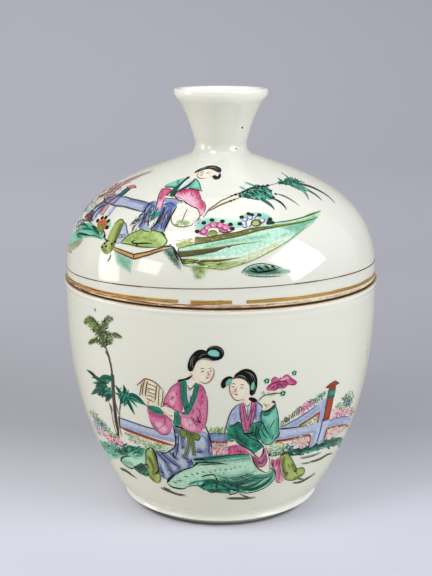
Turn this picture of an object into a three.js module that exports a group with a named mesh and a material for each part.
// Round covered box in glazed porcelain: a deep bowl on a turned foot ring, and a domed cover
// with a hollow trumpet knob. The cover's flange drops into the bowl's mouth and its flat seat
// rests on the bowl's rim. Both pieces are bodies of revolution, thrown and turned on a wheel.
// Millimetres, +Z up. The origin is the centre of the foot ring, on the table.

import * as THREE from "three";

// Bowl, outside
const rimRadius = 74.2;         // outer radius of the lip
const bowlHeight = 111;         // table to the flat top of the rim
const lipFlare = 0.75;          // how far the lip stands out from the wall under it
const lipFlareHeight = 4.6;     // height over which it does so
const bellyHeight = 100;        // where the side starts to curve in towards the foot
const bellyCurve = 40;          // how long the side stays near upright below that
const waistRadius = 51;         // where the side meets the hollow turned above the heel
const waistHeight = 11.4;
const waistCurve = 23.8;        // how long the side keeps the waist's slope
const waistSlope = 0.57;        // outward run of the side for each unit of rise at the waist
const heelRadius = 47.7;        // edge of the heel that flares out above the foot ring
const heelHeight = 4.6;
const heelFlare = 0.8;          // outward run of the flare for each unit of drop at the edge
const hollowReach = 3;          // how long the hollow keeps the slope of each of its ends
const undercutRun = 3.6;        // how far the undercut has run in, halfway down to the foot
const undercutDrop = 2.5;
const lipRound = 1.1;           // rounding of the rim's two edges

// Bowl, inside and underside
const bowlWall = 4;
const floorThickness = 5;
const floorFillet = 13;         // height over which the inside wall turns into the floor
const footRadius = 41;
const footRingWidth = 4.6;
const footRecess = 4;           // depth of the underside inside the foot ring
const footEase = 0.8;           // chamfer of the foot ring's edges

// Cover, outside
const coverRadius = 73.1;       // outer radius at the seat
const skirtHeight = 3.1;        // upright band above the seat
const shoulderCurve = 35.4;     // how long the dome stays near upright above the band
const crownCurve = 28;          // how long the dome keeps the slope of its crown
const crownSlope = 0.36;        // rise of the crown for each unit towards the knob
const crownRadius = 15;         // where the crown meets the neck's fillet
const domeHeight = 56.8;        // seat to the crown at that radius
const seatRound = 0.7;
const seatGap = 0.3;            // height of the dark joint between the rim and the seat

// Cover, inside
const coverWall = 4;
const flangeDepth = 7;          // how far the flange drops into the mouth
const flangeThickness = 3.2;
const flangeClearance = 0.9;    // radial play between the flange and the mouth
const flangeRound = 0.9;

// Knob
const neckRadius = 12;
const neckRise = 5.4;           // height of the fillet from the crown to the neck
const neckSpread = 1.4;         // outward run of the flare over its first stretch
const neckStretch = 4.2;        // height of that stretch
const knobFlareHeight = 21;     // neck to the underside of the lip
const knobFlareRadius = 20.3;   // outer radius under the lip
const flareSlope = 0.57;        // outward run for each unit of rise under the lip
const flareCurve = 10.7;        // how long the flare keeps that slope
const knobLipOverhang = 1.6;    // how far the lip's bead stands out from the flare
const knobLipHeight = 3.7;
const knobEdgeRound = 0.9;      // rounding of the lip's upper outside edge
const knobInnerRound = 3.2;     // rounding of its edge round the hollow
const lipSoftness = 0.4;        // how far the hollow under the lip stays above the flare's end
const lipBlend = 0.92;          // share of the flare's curve that is seen below that hollow
const knobWall = 4.2;
const knobHollowDepth = 23;
const knobFloorFillet = 5;      // height over which the hollow's wall turns into its floor

// Facets
const facetsAround = 56;
const sideSteps = 12;           // stretches of the bowl's side and of the dome
const knobSteps = 7;
const hollowSteps = 6;
const filletSteps = 4;
const edgeSteps = 3;

// A point of a profile: distance from the axis and height.
const at = (radius, height) => new THREE.Vector2(radius, height);

// A cubic curve from a to d with the handles b and c.
const sweep = (a, b, c, d) => new THREE.CubicBezierCurve(a, b, c, d);

// A fillet between two points, drawn towards the corner that they share.
const fillet = (start, corner, end, steps) =>
  new THREE.QuadraticBezierCurve(start, corner, end).getPoints(steps);

// A corner between two neighbours, eased over a short stretch of both of its sides.
function eased(before, corner, after, size) {
  const towards = (p) => p.clone().sub(corner).setLength(size).add(corner);
  return fillet(towards(before), corner, towards(after), edgeSteps);
}

// The points of a curve moved sideways by a wall's thickness. Left of the curve's way is positive.
function wallOf(curve, thickness, steps) {
  return Array.from({ length: steps + 1 }, (_, i) => {
    const along = curve.getTangent(i / steps);
    return curve.getPoint(i / steps).add(at(-along.y, along.x).multiplyScalar(thickness));
  });
}

// Bends the end of an inside wall round until it lies level at the given height. The wall comes
// as points that run towards the axis, and those inside the fillet's height are left out.
function turnLevel(points, level, filletHeight) {
  const side = Math.sign(points[0].y - level);
  const kept = points.filter((p) => side * (p.y - level) > filletHeight);
  const [before, last] = kept.slice(-2);
  const way = last.clone().sub(before).normalize();
  const reach = (level - last.y) / way.y;
  const corner = last.clone().addScaledVector(way, reach);
  const end = at(Math.max(corner.x - Math.abs(reach), corner.x / 3), level);
  return [...kept.slice(0, -1), ...fillet(last, corner, end, filletSteps)];
}

// A closed solid of revolution from a profile whose first and last points lie on the axis.
function turned(name, profile, material) {
  const leastStep = 0.01;
  const clean = profile.filter((p, i) => i === 0 || p.distanceTo(profile[i - 1]) > leastStep);
  const geometry = new THREE.LatheGeometry(clean, facetsAround);
  geometry.rotateX(Math.PI / 2);
  const mesh = new THREE.Mesh(geometry, material);
  mesh.name = name;
  return mesh;
}

const bellyRadius = rimRadius - lipFlare;
const mouthRadius = bellyRadius - bowlWall;

// The bowl's outside from the waist to the belly.
const bowlSide = sweep(
  at(waistRadius, waistHeight),
  at(waistRadius + waistSlope * waistCurve, waistHeight + waistCurve),
  at(bellyRadius, bellyHeight - bellyCurve),
  at(bellyRadius, bellyHeight),
);

// The slight swell from the wall out to the lip.
const lipSwell = sweep(
  at(bellyRadius, bowlHeight - lipFlareHeight),
  at(bellyRadius, bowlHeight - lipFlareHeight / 2),
  at(rimRadius, bowlHeight - lipFlareHeight / 2),
  at(rimRadius, bowlHeight - lipRound),
);

// The turned heel: an undercut up from the foot ring to its edge, and the hollow above its flare.
function heelProfile(footEdge) {
  const edge = at(heelRadius, heelHeight);
  const undercut = at(heelRadius - undercutRun, heelHeight - undercutDrop);
  const hollow = sweep(
    edge,
    at(heelRadius - heelFlare * hollowReach, heelHeight + hollowReach),
    at(waistRadius - waistSlope * hollowReach, waistHeight - hollowReach),
    at(waistRadius, waistHeight),
  );
  const under = fillet(footEdge, undercut, edge, edgeSteps);
  return [...under, ...hollow.getPoints(hollowSteps).slice(1, -1)];
}

// The bowl's outline: underside, foot ring, heel, side, swelling lip, flat rim and inside.
function bowlProfile() {
  const ringInside = footRadius - footRingWidth;
  const floor = footRecess + floorThickness;
  const outerLip = at(rimRadius, bowlHeight);
  const innerLip = at(mouthRadius, bowlHeight);
  const lipEase = Math.min(lipRound, bowlWall / 2);
  const foot = [
    at(0, footRecess),
    at(ringInside - footEase, footRecess),
    at(ringInside, footRecess - footEase),
    at(ringInside, footEase),
    at(ringInside + footEase, 0),
    at(footRadius - footEase, 0),
    at(footRadius, footEase / 2),
  ];
  const rim = [
    ...lipSwell.getPoints(edgeSteps).slice(0, -1),
    ...eased(at(rimRadius, bellyHeight), outerLip, innerLip, lipEase),
    ...eased(outerLip, innerLip, at(mouthRadius, bellyHeight), lipEase),
  ];
  const inside = turnLevel(wallOf(bowlSide, bowlWall, sideSteps).reverse(), floor, floorFillet);
  const side = bowlSide.getPoints(sideSteps);
  return [...foot, ...heelProfile(foot.at(-1)), ...side, ...rim, ...inside, at(0, floor)];
}

const seat = bowlHeight + seatGap;
const crownHeight = seat + domeHeight;
const neckHeight = crownHeight + neckRise;
const lipUnderside = neckHeight + knobFlareHeight;
const knobTop = lipUnderside + knobLipHeight;

// The cover's outside from the upright band to the crown.
const dome = sweep(
  at(coverRadius, seat + skirtHeight),
  at(coverRadius, seat + skirtHeight + shoulderCurve),
  at(crownRadius + crownCurve, crownHeight - crownSlope * crownCurve),
  at(crownRadius, crownHeight),
);

// The knob's outside from the neck to the underside of its lip.
const flare = sweep(
  at(neckRadius, neckHeight),
  at(neckRadius + neckSpread, neckHeight + neckStretch),
  at(knobFlareRadius - flareSlope * flareCurve, lipUnderside - flareCurve),
  at(knobFlareRadius, lipUnderside),
);

// The knob's outline, from the floor of its hollow over the lip and down to the crown.
function knobProfile() {
  const lipOutside = knobFlareRadius + knobLipOverhang;
  const lipInside = lipOutside - knobWall;
  const lipMiddle = lipUnderside + knobLipHeight / 2;
  const upperEdge = at(lipOutside, knobTop);
  const innerEdge = at(lipInside, knobTop);
  const underLip = at(lipOutside, lipUnderside + lipSoftness);
  const flareSeen = Array.from({ length: knobSteps }, (_, i) =>
    flare.getPoint(lipBlend * (1 - (i + 1) / knobSteps)));
  const hollowWall = wallOf(flare, knobWall, knobSteps).reverse();
  const hollow = turnLevel(hollowWall, knobTop - knobHollowDepth, knobFloorFillet).reverse();
  const neck = fillet(
    at(neckRadius, neckHeight),
    at(neckRadius, crownHeight + crownSlope * (crownRadius - neckRadius)),
    at(crownRadius, crownHeight),
    filletSteps,
  );
  return [
    at(0, hollow[0].y),
    ...hollow,
    ...eased(at(lipInside, lipUnderside), innerEdge, upperEdge, knobInnerRound),
    ...eased(innerEdge, upperEdge, at(lipOutside, lipMiddle), knobEdgeRound),
    ...fillet(at(lipOutside, lipMiddle), underLip, flare.getPoint(lipBlend), filletSteps),
    ...flareSeen,
    ...neck,
  ];
}

// The cover's lower outline, from the seat's outer edge round the flange and up the inside.
function undersideProfile() {
  const flangeOutside = mouthRadius - flangeClearance;
  const flangeInside = flangeOutside - flangeThickness;
  const flangeEase = Math.min(flangeRound, flangeThickness / 2);
  const outerCorner = at(flangeOutside, seat - flangeDepth);
  const innerCorner = at(flangeInside, seat - flangeDepth);
  const flangeTop = at(flangeInside, seat);
  const ceiling = wallOf(dome, coverWall, sideSteps);
  const [joinsFlange, ...ceilingRest] = ceiling.slice(2);
  const crown = ceiling.at(-1);
  const peak = crown.y + crownSlope * crown.x / 2;
  return [
    ...eased(dome.getPoint(0), at(coverRadius, seat), at(flangeOutside, seat), seatRound),
    at(flangeOutside, seat),
    ...eased(at(flangeOutside, seat), outerCorner, innerCorner, flangeEase),
    ...eased(outerCorner, innerCorner, flangeTop, flangeEase),
    ...fillet(flangeTop, at(flangeInside, seat + skirtHeight), joinsFlange, filletSteps),
    ...ceilingRest,
    ...fillet(crown, at(crown.x / 2, peak), at(0, peak), filletSteps),
  ];
}

// The cover's outline. It runs from the knob down the outside, and is turned over to face outwards.
function coverProfile() {
  const outside = dome.getPoints(sideSteps).reverse();
  return [...knobProfile(), ...outside, ...undersideProfile()].reverse();
}

const porcelain = new THREE.MeshStandardMaterial({ color: 0xe9e8e0, roughness: 0.12, metalness: 0 });

const coveredBox = new THREE.Group();
coveredBox.add(turned("bowl", bowlProfile(), porcelain));
coveredBox.add(turned("cover", coverProfile(), porcelain));

export default coveredBox;
